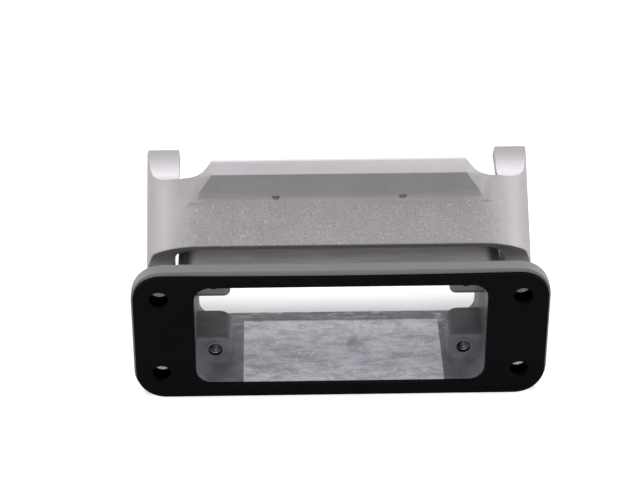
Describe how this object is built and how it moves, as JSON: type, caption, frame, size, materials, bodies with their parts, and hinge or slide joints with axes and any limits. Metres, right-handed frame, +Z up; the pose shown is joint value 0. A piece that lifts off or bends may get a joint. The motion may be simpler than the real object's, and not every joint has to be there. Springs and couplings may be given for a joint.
{
  "type": "heavy duty rectangular connector bulkhead housing",
  "caption": "Rectangular bulkhead connector housing with flange, flat gasket, open insert tunnel with screw bosses, and a pivoting U-shaped locking lever with cam slots.",
  "frame": {"origin": "centre of the panel face of the flange gasket, which is the centre of the panel screw pattern", "axes": "+X along the housing, +Y the mating direction away from the panel, +Z up towards the lever's handle as the part lies on its lower long side"},
  "size_m": [0.0808, 0.0348, 0.0433],
  "materials": {
    "coated_casting": "fine rough grey coating on die-cast aluminium",
    "black_rubber": "smooth black rubber",
    "grey_plastic": "finely textured grey moulded plastic",
    "pin_steel": "plain turned steel"
  },
  "bodies": {
    "base": {"housing": "coated_casting", "flange_gasket": "black_rubber", "mating_seal": "black_rubber", "left_pivot_pin": "pin_steel", "right_pivot_pin": "pin_steel"},
    "lever": {"locking_lever": "grey_plastic"}
  },
  "joints": [
    {"name": "lever_pivot", "type": "hinge", "parent": "base", "child": "lever", "pos_m": [0, 0.0135, 0], "axis": [1, 0, 0], "range_deg": [-40, 0]}
  ]
}
